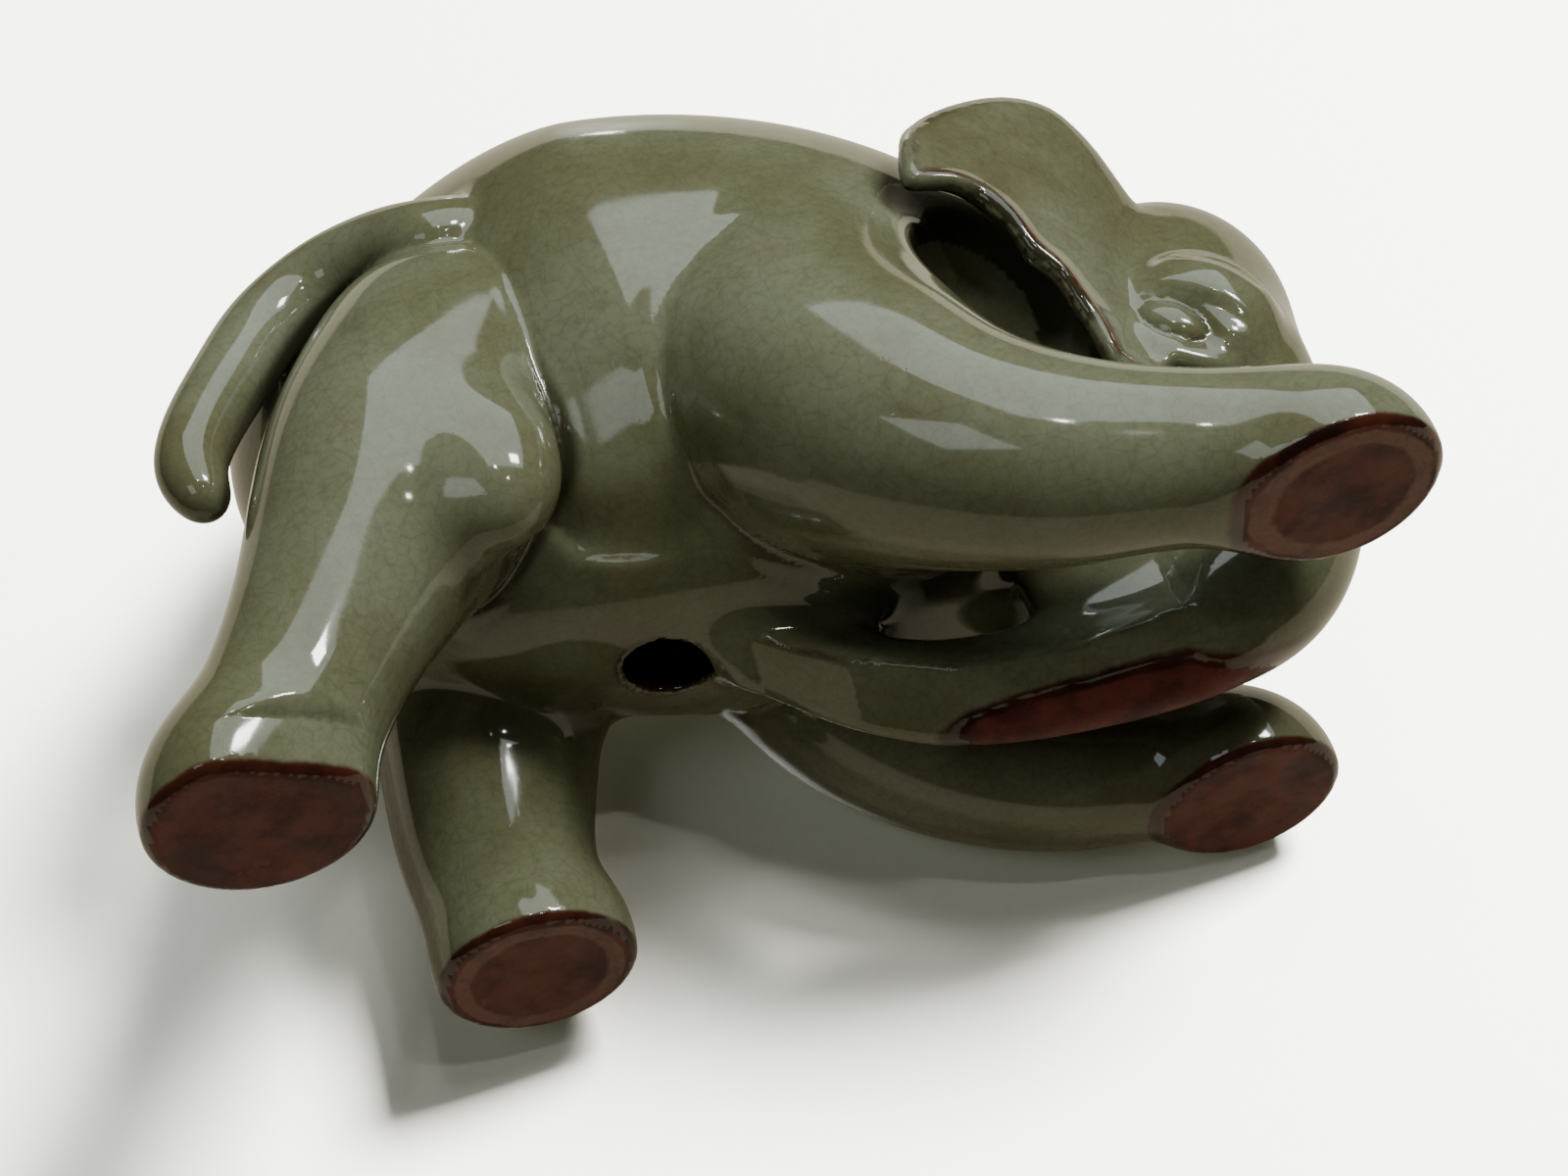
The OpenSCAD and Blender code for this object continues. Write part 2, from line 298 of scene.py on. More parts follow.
DOME = ellipsoid((0.4, 0.9, -0.9), (6.0, 5.6, 3.3))
SOCKET = ellipsoid((-0.9, -2.5, 2.5), (4.4, 2.2, 1.7))
EYEBALL = ellipsoid((-1.2, -2.4, 0.4), (3.3, 2.1, 1.7))
LOWER_LID = tube(arc(4.6, -3.9, -1.3, 0.5, 1.2), 6)
BROW_CREASE = tube(arc(4.4, 5.3, 0.9, 1.55, 1.0), 6)
LID_CREASE = tube(arc(5.0, -0.5, 0.5, 3.0, 1.0), 6)


def eye_space(p, side):
    return ((p if side < 0 else flipped(p)) - EYE_AT) @ EYE_AXES


parts = {
    "barrel": tube(BODY, 6, (1, 0.91, 1)),
    "head": ellipsoid(HEAD_AT, HEAD_R),
    "lower_lip": tube(LIP),
    "trunk": tube(TRUNK),
    "ear_right": ear,
    "ear_left": lambda p: ear(flipped(p)),
    "tail": tube(TAIL),
    "rear_leg_right": tube(REAR_RIGHT),
    "rear_leg_left": tube(REAR_LEFT),
    "front_leg_right": tube(FRONT_RIGHT),
    "front_leg_left": tube(FRONT_LEFT),
}
cheek = ellipsoid(CHEEK_AT, CHEEK_R)
crown = ellipsoid(CROWN_AT, CROWN_R)
hollow = ellipsoid(HOLLOW_AT, HOLLOW_R)
knee = ellipsoid(KNEE_AT, KNEE_R)
cavity = ellipsoid(CAVITY_AT, CAVITY_R)
neck = tube(NECK)
LEG_ROWS = {
    "rear_leg_right": REAR_RIGHT, "rear_leg_left": REAR_LEFT,
    "front_leg_right": FRONT_RIGHT, "front_leg_left": FRONT_LEFT,
}
LEGS = list(LEG_ROWS)
# How softly each leg runs into the barrel and how deep the groove round it is, in mm.
LEG_SEAM = {
    "rear_leg_right": (2.2, 0.35), "rear_leg_left": (4.5, 0.0),
    "front_leg_right": (2.6, 0.35), "front_leg_left": (3.0, 0.3),
}
NAMES = list(parts)


def members(p):
    m = {name: f(narrowed(p) if name == "barrel" else p) for name, f in parts.items()}
    for side in (p, flipped(p)):
        m["head"] = smin(m["head"], cheek(side), CHEEK_MELT)
    m["head"] = smin(m["head"], crown(p), CROWN_MELT)
    m["barrel"] = smin(m["barrel"], neck(p), NECK_MELT)
    bent_leg = smin(m["rear_leg_right"], knee(p), KNEE_MELT)
    m["rear_leg_right"] = smax(bent_leg, pared_heel(p), HEEL_MELT)
    m["trunk"] = smax(m["trunk"], pared_trunk(p), PARED_MELT)
    return m


def narrowed(p):
    """The barrel's width falls off towards the rump."""
    share = 1 - RUMP_NARROW * np.clip((RUMP_FROM - p[:, 0]) / RUMP_OVER, 0, 1) ** 1.5
    return np.stack([p[:, 0], p[:, 1] / share, p[:, 2]], 1)


def pared_heel(p):
    """The near hind foot is straight along its near edge."""
    a, b, c = HEEL_FLAT
    flat = a * (p[:, 0] - HEEL_AT[0]) + b * (p[:, 1] - HEEL_AT[1]) + c * p[:, 2] - HEEL_OUT
    return flat - HEEL_FADE * np.maximum(p[:, 2] - HEEL_TOP, 0)


def pared_trunk(p):
    middle = np.interp(p[:, 0], TRUNK_LINE[:, 0], TRUNK_LINE[:, 1])
    radius = np.interp(p[:, 0], TRUNK_LINE[:, 0], TRUNK_LINE[:, 2])
    fade = PARED_FADE * np.maximum(p[:, 0] - PARED_TO, 0)
    flats = [a * p[:, 1] + b * (p[:, 2] - middle) - c * radius for a, b, c in (UNDERSIDE, NEAR_SIDE)]
    return np.maximum(*flats) - fade


def bare_distance(p, m):
    """Millimetres from the unglazed clay, negative on it: the soles and the patch the trunk rests on."""
    foot = np.full(len(p), FAR)
    for leg, rows in LEG_ROWS.items():
        x, y, _, r = rows[-1]
        reach = np.hypot(p[:, 0] - x, p[:, 1] - y) - r - FOOT_MARGIN
        foot = np.minimum(foot, np.maximum(m[leg], reach))
    sole = foot + SOLE_INSET + GLAZE_RISE * np.maximum(p[:, 2] - GLAZE_LINE, 0)
    x, y = (p[:, 0] - REST_AT[0]) / REST_HALF[0], (p[:, 1] - REST_AT[1]) / REST_HALF[1]
    patch = (np.sqrt(x * x + y * y) - 1) * REST_HALF[1]
    return np.minimum(sole, patch + PATCH_RISE * np.maximum(p[:, 2] - PATCH_LINE, 0))


def from_vent_axis(p):
    return np.hypot(p[:, 0] - VENT_AT[0], p[:, 1] - VENT_AT[1])


def eyeballs(p):
    return np.minimum(EYEBALL(eye_space(p, -1)), EYEBALL(eye_space(p, 1)))


def skin(p):
    """Signed distance to the whole figure without its eyeballs, and the members it is made of."""
    m = members(p)
    face = smin(seam(m["head"], m["lower_lip"], *LIP_SEAM), m["trunk"], TRUNK_MELT)
    for side in (-1, 1):
        e = eye_space(p, side)
        face = smin(face, DOME(e), DOME_MELT)
        face = smax(face, -BROW_CREASE(e), BROW_MELT)
        face = smax(face, -SOCKET(e), SOCKET_MELT)
        face = smin(face, LOWER_LID(e), LID_MELT)
        face = smax(face, -LID_CREASE(e), CREASE_MELT)
    f = smin(m["barrel"], face, FACE_MELT)
    f = f + FOLD_DEPTH * np.exp(-((fold(p) / FOLD_WIDTH) ** 2))
    for name in LEGS:
        ahead = np.clip((p[:, 0] - SOFT_FROM) / SOFT_OVER, 0, 1)
        k, depth = LEG_SEAM[name]
        f = seam(f, m[name], k + SOFTER * ahead, depth * (1 - ahead))
    for side in (p, flipped(p)):
        f = smax(f, -hollow(side), HOLLOW_MELT)
    for name in ("ear_right", "ear_left"):
        f = seam(f, m[name], *EAR_SEAM)
    f = seam(f, m["tail"], *TAIL_SEAM)
    bore = np.maximum(from_vent_axis(p) - VENT_R, np.abs(p[:, 2] - VENT_AT[2]) - VENT_AT[3])
    f = smax(f, -smin(bore, cavity(p), VENT_MELT), VENT_LIP)
    bare = bare_distance(p, m)
    f = f + BEAD * np.exp(-(((bare - BEAD_AT) / BEAD_WIDTH) ** 2))
    return smax(f, -p[:, 2], SOLE_EDGE), m


def solid(p):
    return smin(skin(p)[0], eyeballs(p), EYE_EDGE)


def fold(p):
    """Distance from the skin fold that hangs between the thigh and the shoulder, on either side."""
    across = (p[:, 0] - FOLD_AT[0]) / FOLD_HALF
    line = FOLD_AT[2] + FOLD_RISE * across**2
    side = 3 * np.maximum(FOLD_AT[1] - np.abs(p[:, 1]), 0)
    return np.hypot(p[:, 2] - line, side) + 3 * np.maximum(np.abs(across) - 1, 0)


def in_batches(f, p, size=150_000):
    return np.concatenate([f(p[i : i + size]) for i in range(0, len(p), size)])


def refined_grid(low, high, fine, levels=3):
    """The field on a fine grid, refined level by level near the surface only."""
    step = fine * 2**levels
    count = [int(math.ceil((b - a) / step)) for a, b in zip(low, high)]
    ii = np.argwhere(np.ones([c + 1 for c in count]))
    grid = in_batches(solid, ii * step + low).reshape([c + 1 for c in count])
    for _ in range(levels):
        close = np.abs(grid) < step * NEAR_BAND
        cells = np.zeros([c - 1 for c in grid.shape], bool)
        for i in (0, 1):
            for j in (0, 1):
                for k in (0, 1):
                    cells |= close[i : i + cells.shape[0], j : j + cells.shape[1], k : k + cells.shape[2]]
        nxt = np.full([2 * c + 1 for c in cells.shape], OUTSIDE)
        nxt[:-1, :-1, :-1] = grid[:-1, :-1, :-1].repeat(2, 0).repeat(2, 1).repeat(2, 2)
        todo = np.zeros(nxt.shape, bool)
        todo[:-1, :-1, :-1] = cells.repeat(2, 0).repeat(2, 1).repeat(2, 2)
        for axis in range(3):
            todo |= np.roll(todo, 1, axis)
        step /= 2
        ii = np.argwhere(todo)
        nxt[tuple(ii.T)] = in_batches(solid, ii * step + low)
        grid = nxt
    return grid


def surface_net(grid, low, step):
    """Quads through the cells that the surface crosses, with one vertex a cell."""
    inside = grid < 0
    n = [c - 1 for c in grid.shape]
    corners = [(i, j, k) for i in (0, 1) for j in (0, 1) for k in (0, 1)]
    some = np.zeros(n, bool)
    every = np.ones(n, bool)
    for i, j, k in corners:
        block = inside[i : i + n[0], j : j + n[1], k : k + n[2]]
        some |= block
        every &= block
    cell = np.argwhere(some & ~every)
    value = {c: grid[tuple((cell + c).T)] for c in corners}
    total, hits = np.zeros((len(cell), 3)), np.zeros(len(cell))
    for a in corners:
        for b in corners:
            if sum(y - x for x, y in zip(a, b)) == 1 and all(y >= x for x, y in zip(a, b)):
                crossed = (value[a] < 0) != (value[b] < 0)
                t = np.where(crossed, value[a] / np.where(crossed, value[a] - value[b], 1), 0)
                total += np.where(crossed[:, None], np.array(a) + t[:, None] * (np.array(b) - a), 0)
                hits += crossed
    index = np.full(n, -1)
    index[tuple(cell.T)] = np.arange(len(cell))
    points = (cell + total / hits[:, None]) * step + low
    quads = []
    for axis in range(3):
        u, v = (axis + 1) % 3, (axis + 2) % 3
        first, second = np.take(inside, range(n[axis]), axis), np.take(inside, range(1, n[axis] + 1), axis)
        at = np.argwhere(first != second)
        at = at[(at[:, u] > 0) & (at[:, v] > 0) & (at[:, u] < n[u]) & (at[:, v] < n[v])]
        ring = []
        for du, dv in ((-1, -1), (0, -1), (0, 0), (-1, 0)):
            c = at.copy()
            c[:, u] += du
            c[:, v] += dv
            ring.append(index[tuple(c.T)])
        ring = np.stack(ring, 1)
        outward = first[tuple(at.T)]
        ring[~outward] = ring[~outward][:, ::-1]
        quads.append(ring)
    return points, np.vstack(quads)


def gradient(p, h=0.08):
    g = np.empty((len(p), 3))
    for axis in range(3):
        d = np.zeros(3)
        d[axis] = h
        g[:, axis] = in_batches(solid, p + d) - in_batches(solid, p - d)
    return g / (2 * h)


def sculpt():
    low = np.array(GRID_LOW)
    grid = refined_grid(low, GRID_HIGH, VOXEL)
    points, quads = surface_net(grid, low, VOXEL)
    for _ in range(2):
        g = gradient(points)
        move = in_batches(solid, points)[:, None] * g / np.maximum((g * g).sum(1), 0.2)[:, None]
        points -= np.clip(move, -0.4 * VOXEL, 0.4 * VOXEL)
    g = gradient(points)
    normals = g / np.maximum(np.linalg.norm(g, axis=1), 1e-9)[:, None]
    return points, quads, normals


points, quads, normals = sculpt()


def labels(c):
    """The CAD node that each face belongs to."""
    f, m = skin(c)
    stack = np.stack([m[n] for n in NAMES])
    name = np.array(NAMES, dtype=object)[stack.argmin(0)]
    bare = bare_distance(c, m) < 0
    name[(name == "barrel") & (c[:, 1] < 0)] = "body_right_half"
    name[name == "barrel"] = "body_left_half"
    deep = cavity(c) < CAVITY_SKIN
    name[deep & (c[:, 1] < 0)] = "body_right_half"
    name[deep & (c[:, 1] >= 0)] = "body_left_half"
    for leg in LEGS:
        side = leg.replace("_leg", "")
        name[(name == leg) & bare] = "sole_" + side
    name[(name == "trunk") & bare] = "trunk_rest"
    ball = eyeballs(c) < f
    name[ball & (c[:, 1] < 0)] = "eye_right"
    name[ball & (c[:, 1] >= 0)] = "eye_left"
    return name


face_label = np.concatenate(
    [labels(points[quads[i : i + 100_000]].mean(1)) for i in range(0, len(quads), 100_000)]
)
# How near other skin lies outside each point: the glaze is darkened there, partly as glaze pooled thicker
# in the hollows and partly as painted shade.
POOL_AND_SHADE_REACH, THIN_REACH = 1.8, 1.5
pool_and_shade = np.clip(1 - in_batches(solid, points + POOL_AND_SHADE_REACH * normals) / POOL_AND_SHADE_REACH, 0, 1)
thin = np.clip(1 + in_batches(solid, points - THIN_REACH * normals) / THIN_REACH, 0, 1)
# The lids keep their full glaze.
LIDS_END, LIDS_FADE = 5, 4
from_eye = np.minimum(*[np.linalg.norm(side - EYE_AT, axis=1) for side in (flipped(points), points)])
thin *= np.clip((from_eye - LIDS_END) / LIDS_FADE, 0, 1)
bare = in_batches(lambda p: bare_distance(p, members(p)), points)
# The vent's bore is painted near-black as painted shade, and the hollows under the ears are painted
# darker, down to near-black, as painted shade.
BORE_SHADE, BORE_MARGIN, BORE_TOP = 1.5, 0.15, 40
PAINTED_HOLLOW_SHADE, HOLLOW_SHADE_FADE, ANY_POOL_OR_SHADE = 0.75, 1.6, 0.05
in_bore = (from_vent_axis(points) < VENT_R + BORE_MARGIN) & (points[:, 2] < BORE_TOP)
pool_and_shade[in_bore] = BORE_SHADE
under_ear = np.minimum(in_batches(hollow, points), in_batches(hollow, flipped(points)))
pool_and_shade += PAINTED_HOLLOW_SHADE * np.clip(1 - under_ear / HOLLOW_SHADE_FADE, 0, 1) * (pool_and_shade > ANY_POOL_OR_SHADE)


def add_piece(name, faces, worn):
    used, local = np.unique(faces, return_inverse=True)
    where = (points[used] + (CENTRE_X, 0, 0)) * MM
    mesh = bpy.data.meshes.new(name)
    mesh.from_pydata(where.tolist(), [], local.reshape(-1, 4).tolist())
    for key, values in (("pool_and_shade", pool_and_shade), ("thin", thin), ("bare", bare)):
        data = mesh.attributes.new(key, "FLOAT", "POINT").data
        data.foreach_set("value", values[used].astype(np.float32))
    rub = mesh.attributes.new("rubbed", "FLOAT", "POINT").data
    rub.foreach_set("value", np.full(len(used), worn, np.float32))
    mesh.polygons.foreach_set("use_smooth", np.ones(len(mesh.polygons), bool))
    mesh.normals_split_custom_set_from_vertices(normals[used].tolist())
    mesh.update()
    piece = bpy.data.objects.new(name, mesh)
    bpy.context.scene.collection.objects.link(piece)
    return piece


# ---------------------------------------------------------------- materials


class Nodes:
    """Short names for building a material's node tree."""

    def __init__(self, name):
        self.material = bpy.data.materials.new(name)
        self.material.use_nodes = True
        self.tree = self.material.node_tree
        self.tree.nodes.clear()

    def add(self, kind, **inputs):
        node = self.tree.nodes.new("ShaderNode" + kind)
        for key, value in inputs.items():
            self.put(node, key.replace("_", " "), value)
        return node

    def put(self, node, key, value):
        socket = node.inputs[key if key in node.inputs else int(key)]
        if isinstance(value, bpy.types.NodeSocket):
            self.tree.links.new(value, socket)
        else:
            socket.default_value = value

    def math(self, operation, a, b):
        node = self.tree.nodes.new("ShaderNodeMath")
        node.operation = operation
        self.put(node, "0", a)
        self.put(node, "1", b)
        return node.outputs[0]

    def step(self, value, low, high, to_low=0.0, to_high=1.0):
        node = self.tree.nodes.new("ShaderNodeMapRange")
        node.interpolation_type = "SMOOTHSTEP"
        sockets = ("Value", "From Min", "From Max", "To Min", "To Max")
        for key, v in zip(sockets, (value, low, high, to_low, to_high)):
            self.put(node, key, v)
        return node.outputs[0]

    def mix(self, share, a, b):
        node = self.tree.nodes.new("ShaderNodeMix")
        node.data_type = "RGBA"
        self.put(node, "0", share)
        self.put(node, "6", a)
        self.put(node, "7", b)
        return node.outputs[2]

    def attribute(self, name):
        node = self.tree.nodes.new("ShaderNodeAttribute")
        node.attribute_name = name
        return node.outputs["Fac"]

    def noise(self, where, scale, detail=3.0, rough=0.5):
        node = self.add("TexNoise", Vector=where, Scale=scale, Detail=detail, Roughness=rough)
        return node.outputs["Fac"]

    def finish(self, shader):
        out = self.tree.nodes.new("ShaderNodeOutputMaterial")
        self.tree.links.new(shader, out.inputs["Surface"])
        return self.material


def linear(r, g, b):
    """A colour from its 0 to 255 display values."""
    shares = [c / 255 for c in (r, g, b)]
    return tuple(c / 12.92 if c <= 0.04045 else ((c + 0.055) / 1.055) ** 2.4 for c in shares) + (1.0,)


GLAZE_MID, GLAZE_DEEP, GLAZE_LIGHT = linear(87, 87, 63), linear(36, 33, 19), linear(104, 107, 86)
GLAZE_WARM, RUST, RUST_DARK = linear(88, 72, 48), linear(66, 32, 22), linear(34, 15, 11)
# This near-black is painted shade, for the vent's bore and the deepest hollows under the ears.
SHADE_BLACK = linear(6, 5, 3)
CLAY_MID, CLAY_DARK, CLAY_WORN = linear(102, 50, 43), linear(64, 29, 29), linear(132, 98, 90)
GLAZE_SHINE, CLAY_SHINE = 0.5, 0.18


def crazing(n, where):
    """Fine and wide crackle lines in the glaze."""
    lines = []
    for scale, width, strength in ((620.0, 0.055, 0.14), (170.0, 0.02, 0.12)):
        cells = n.add("TexVoronoi", Vector=where, Scale=scale)
        cells.feature = "DISTANCE_TO_EDGE"
        line = n.step(cells.outputs["Distance"], 0.0, width, 1, 0)
        lines.append(n.math("MULTIPLY", line, strength))
    return n.math("MAXIMUM", *lines)


def clay_colour(n, where, clay_d, ragged, scuffs):
    """Iron-red clay with a worn ring just inside its edge."""
    ring = n.math("ADD", clay_d, n.math("MULTIPLY", ragged, 1.1))
    worn = n.math("MULTIPLY", n.step(ring, -0.3, -0.6), n.step(ring, -2.0, -1.5))
    worn = n.math("MULTIPLY", worn, n.step(scuffs, 0.36, 0.56, 0.35, 0.8))
    worn = n.math("MULTIPLY", worn, n.attribute("rubbed"))
    smear = n.step(scuffs, 0.60, 0.74, 0, 0.45)
    clay = n.mix(n.step(n.noise(where, 200, 4, 0.6), 0.4, 0.65), CLAY_MID, CLAY_DARK)
    clay = n.mix(n.math("MAXIMUM", worn, smear), clay, CLAY_WORN)
    return n.mix(n.step(n.noise(where, 2600, 2, 0.6), 0.5, 0.8, 0, 0.4), clay, CLAY_DARK)


def relief(n, where, crackle, bare_share):
    """Orange peel and pin-holes in the glaze, grit in the clay."""
    peel = n.math("MULTIPLY", n.noise(where, 330, 2, 0.5), 0.5)
    pits = n.math("MULTIPLY", n.step(n.noise(where, 1300, 2, 0.5), 0.68, 0.8), -0.25)
    smooth = n.math("ADD", n.math("ADD", peel, pits), n.math("MULTIPLY", crackle, -0.12))
    grit = n.math("MULTIPLY", n.noise(where, 3200, 3, 0.7), 0.7)
    rougher = n.math("MULTIPLY", n.math("SUBTRACT", grit, smooth), bare_share)
    height = n.math("ADD", smooth, rougher)
    return n.add("Bump", Height=height, Strength=0.2, Distance=0.0001).outputs[0]


def ceramic(name, shine=GLAZE_SHINE):
    """Celadon over iron clay: darker in hollows, partly pooled glaze and partly painted shade, with
    near-black painted shade in the vent and under the ears, brown where it runs thin, bare clay at the
    feet.
    """
    n = Nodes(name)
    where = n.add("TexCoord").outputs["Object"]
    pooled_and_shaded, edge, clay_d = n.attribute("pool_and_shade"), n.attribute("thin"), n.attribute("bare")

    # glaze
    cloud = n.noise(where, 55, 4, 0.55)
    patch = n.noise(where, 140, 3, 0.6)
    grain = n.noise(where, 1500, 3, 0.7)
    colour = n.mix(n.step(cloud, 0.35, 0.68), GLAZE_MID, GLAZE_LIGHT)
    colour = n.mix(n.step(patch, 0.52, 0.78, 0, 0.35), colour, GLAZE_WARM)
    colour = n.mix(n.step(grain, 0.35, 0.75, 0, 0.2), colour, GLAZE_DEEP)
    # Hollows go towards the dark glaze tone: partly glaze pooled thicker, partly painted shade.
    colour = n.mix(n.step(pooled_and_shaded, 0.12, 0.85, 0, 0.9), colour, GLAZE_DEEP)
    # Past the pooling range the colour goes near-black: painted shade in the vent's bore and under the
    # ears.
    colour = n.mix(n.step(pooled_and_shaded, 1.05, 1.4), colour, SHADE_BLACK)
    crackle = crazing(n, where)
    colour = n.mix(crackle, colour, GLAZE_DEEP)

    # thin glaze on edges and round the bare clay
    ragged = n.math("MULTIPLY", n.math("SUBTRACT", n.noise(where, 420, 4, 0.6), 0.5), 0.9)
    rim = n.step(n.math("ADD", edge, n.math("MULTIPLY", ragged, 0.3)), 0.5, 0.85)
    shore = n.step(n.math("ADD", clay_d, ragged), 0.8, 1.5, 1, 0)
    burnt = n.math("MAXIMUM", n.math("MULTIPLY", rim, 0.85), shore)
    colour = n.mix(burnt, colour, n.mix(n.step(patch, 0.4, 0.65), RUST, RUST_DARK))

    # bare clay
    scuffs = n.noise(where, 260, 5, 0.7)
    clay = clay_colour(n, where, clay_d, ragged, scuffs)
    bare_share = n.step(n.math("ADD", clay_d, n.math("MULTIPLY", ragged, 0.6)), -0.25, 0.12, 1, 0)
    colour = n.mix(bare_share, colour, clay)

    glaze_rough = n.step(n.noise(where, 90, 3), 0.3, 0.7, 0.05, 0.12)
    clay_rough = n.step(scuffs, 0.3, 0.7, 0.38, 0.6)
    share = n.math("MULTIPLY", n.math("SUBTRACT", clay_rough, glaze_rough), bare_share)
    roughness = n.math("ADD", glaze_rough, share)
    bump = relief(n, where, crackle, bare_share)
    shader = n.add("BsdfPrincipled", Roughness=roughness, Normal=bump)
    n.put(shader, "Base Color", colour)
    n.put(shader, "IOR", 1.5)
    n.put(shader, "Specular IOR Level", shine)
    return n.finish(shader.outputs[0])


finishes = {
    "celadon_glaze": ceramic("celadon_glaze"),
    "bare_clay": ceramic("bare_clay", CLAY_SHINE),
    "eye_glaze": ceramic("eye_glaze"),
}


def slot_of(node_name):
    if node_name.startswith("sole") or node_name == "trunk_rest":
        return "bare_clay"
    return "eye_glaze" if node_name.startswith("eye") else "celadon_glaze"


for node_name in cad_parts:
    faces = quads[face_label == node_name]
    piece = add_piece("elephant_" + node_name, faces, RUBBED.get(node_name, 0.0))
    piece.data.materials.append(finishes[slot_of(node_name)])
    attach(piece, "root")
    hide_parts(node_name)

# ---------------------------------------------------------------- stage


def sheet_material(name, tone):
    """Pale paper that is seen from its front only."""
    n = Nodes(name)
    where = n.add("TexCoord").outputs["Object"]
    fibre = n.noise(where, 900, 4, 0.6)
    colour = n.mix(n.step(fibre, 0.3, 0.7, 0, 0.06), tone, linear(214, 205, 186))
    shader = n.add("BsdfPrincipled", Roughness=0.6)
    n.put(shader, "Base Color", colour)
    clear = n.add("BsdfTransparent")
    facing = n.tree.nodes.new("ShaderNodeNewGeometry").outputs["Backfacing"]
    pick = n.tree.nodes.new("ShaderNodeMixShader")
    n.tree.links.new(facing, pick.inputs[0])
    n.tree.links.new(shader.outputs[0], pick.inputs[1])
    n.tree.links.new(clear.outputs[0], pick.inputs[2])
    return n.finish(pick.outputs[0])


def plane(name, centre, normal, half, material):
    normal = unit(normal)
    side = unit(np.cross(normal, (0, 0, 1) if abs(normal[2]) < 0.9 else (0, 1, 0)))
    rise = np.cross(side, normal)
    signs = ((-1, -1), (-1, 1), (1, 1), (1, -1))
    corners = [np.asarray(centre) + half * (i * side + j * rise) for i, j in signs]
    mesh = bpy.data.meshes.new(name)
    mesh.from_pydata([tuple(c) for c in corners], [], [(0, 1, 2, 3)])
    if mesh.polygons[0].normal.dot(Vector(normal)) < 0:
        mesh.flip_normals()
    mesh.materials.append(material)
    thing = bpy.data.objects.new(name, mesh)
    bpy.context.scene.collection.objects.link(thing)
    return thing


PALE, SHADED = linear(246, 245, 236), linear(196, 184, 160)
low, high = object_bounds()
# The figure lies with its left side on the table, so the table's sheet faces its right side.
TABLE_FACE, SHEET_HALF, BOUNCE_HALF = (0, -1, -0.0955), 0.6, 0.3
TABLE_GAP, BOUNCE_GAP = 0.0006, 0.001
paper = sheet_material("table_paper", PALE)
backdrop = plane("table_sheet", (0, high[1] + TABLE_GAP, 0), TABLE_FACE, SHEET_HALF, paper)
floor = plane("floor", (0, 0, 0), (0, 0, 1), SHEET_HALF, sheet_material("floor_paper", PALE))
for sheet in (backdrop, floor):
    sheet.visible_shadow = False
    sheet.visible_diffuse = False
    sheet.visible_glossy = False
# A duller sheet in the same place gives the light that the table throws back on the figure.
dull_paper = sheet_material("bounce_paper", SHADED)
bounce = plane("bounce_sheet", (0, high[1] + BOUNCE_GAP, 0), TABLE_FACE, BOUNCE_HALF, dull_paper)
bounce.visible_camera = False
bounce.visible_shadow = False

# The camera: its bearing and height round the figure, its roll, its distance and its slide, in mm.
AZ, EL, ROLL = math.radians(-6.59), math.radians(-38.31), math.radians(19.22)
DISTANCE, SLIDE_X, SLIDE_Y = 209.85, 6.07, -15.47
back = np.array([math.sin(AZ) * math.cos(EL), -math.cos(AZ) * math.cos(EL), math.sin(EL)])
right = unit(np.cross(-back, (0, 0, 1)))
up = np.cross(right, -back)
tip = math.cos(ROLL), math.sin(ROLL)
right, up = right * tip[0] - up * tip[1], right * tip[1] + up * tip[0]
eye_point = (back * DISTANCE - right * SLIDE_X - up * SLIDE_Y + (CENTRE_X, 0, 0)) * MM

camera = bpy.data.objects.new("camera", bpy.data.cameras.new("camera"))
camera.data.lens, camera.data.sensor_width = 60, 36
camera.data.clip_start, camera.data.clip_end = 0.01, 20
place = Matrix.Identity(4)
for column, axis in enumerate((right, up, back, eye_point)):
    for row in range(3):
        place[row][column] = axis[row]
camera.matrix_world = place
bpy.context.scene.collection.objects.link(camera)
bpy.context.scene.camera = camera


def seen(across, rise, towards):
    """A place given along the camera's right, up and back, in metres from the figure."""
    return Vector(right * across + up * rise + back * towards)


def lamp(name, offset, size, watts, tint, only_on=None):
    """A soft rectangular lamp at an offset from the figure and aimed at it."""
    data = bpy.data.lights.new(name, "AREA")
    data.shape, data.size, data.size_y = "RECTANGLE", size[0], size[1]
    data.energy, data.color = watts, tint
    thing = bpy.data.objects.new(name, data)
    thing.location = MIDDLE + offset
    thing.rotation_euler = (-offset).to_track_quat("-Z", "Y").to_euler()
    bpy.context.scene.collection.objects.link(thing)
    if only_on:
        lit = bpy.data.collections.new(name + "_sheet")
        lit.objects.link(only_on)
        thing.light_linking.receiver_collection = lit
    return thing


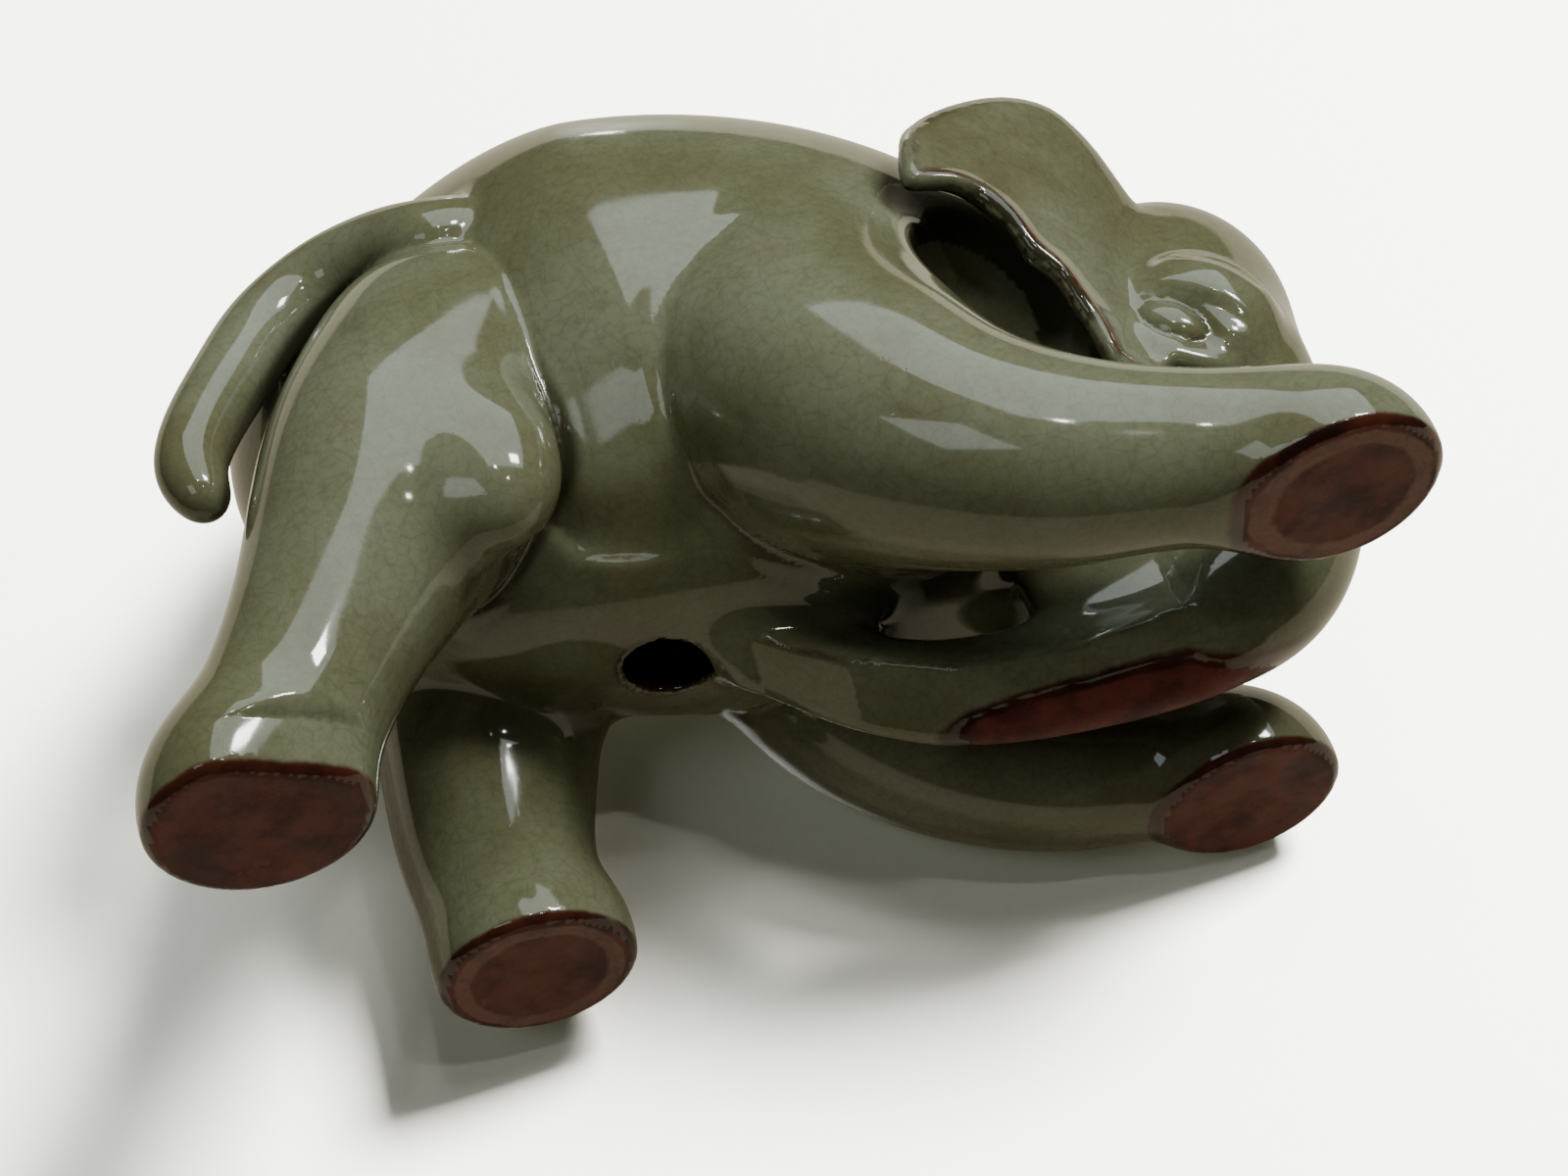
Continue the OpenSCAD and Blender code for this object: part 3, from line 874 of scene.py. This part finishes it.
MIDDLE = Vector((0, 0, 0.035))
DAYLIGHT, LAMPLIGHT, SKY = (1.0, 1.0, 0.96), (1.0, 0.95, 0.88), (0.88, 0.98, 0.97)
KEY, SECOND = seen(0.42, 0.80, 0.55), seen(-0.25, 0.72, 0.72)
lamp("window", KEY, (0.2, 0.14), 8.5, DAYLIGHT)
lamp("far_window", SECOND, (0.2, 0.14), 2.0, DAYLIGHT).visible_glossy = False
lamp("sky_panel", seen(0.12, 0.78, 0.32), (0.75, 0.8), 6.5, SKY)
lamp("side_window", seen(-0.36, 0.16, 0.85), (0.3, 0.3), 0.7, SKY)
lamp("ceiling_bulb", seen(0.25, 0.45, 0.8), (0.035, 0.035), 0.6, LAMPLIGHT)
lamp("second_bulb", seen(0.02, 0.6, 0.75), (0.03, 0.03), 0.5, LAMPLIGHT)
lamp("studio_top", Vector((0.1, 0.15, 0.9)), (0.16, 0.16), 2.0, DAYLIGHT)
lamp("studio_left", Vector((-0.2, 0.8, 0.35)), (0.25, 0.3), 4.5, DAYLIGHT)
lamp("table_key", KEY, (0.36, 0.26), 78.0, DAYLIGHT, backdrop)
lamp("floor_key", Vector((0.3, -0.3, 0.9)), (0.4, 0.4), 60.0, DAYLIGHT, floor)

world = bpy.data.worlds.new("studio")
world.use_nodes = True
dim = world.node_tree.nodes["Background"]
dim.inputs["Color"].default_value, dim.inputs["Strength"].default_value = (1.0, 0.86, 0.66, 1), 0.045
pale = world.node_tree.nodes.new("ShaderNodeBackground")
pale.inputs["Color"].default_value, pale.inputs["Strength"].default_value = (1.0, 1.0, 0.98, 1), 5.0
pick = world.node_tree.nodes.new("ShaderNodeMixShader")
first_hit = world.node_tree.nodes.new("ShaderNodeLightPath").outputs["Is Camera Ray"]
for source, socket in ((first_hit, 0), (dim.outputs[0], 1), (pale.outputs[0], 2)):
    world.node_tree.links.new(source, pick.inputs[socket])
world.node_tree.links.new(pick.outputs[0], world.node_tree.nodes["World Output"].inputs["Surface"])
bpy.context.scene.world = world
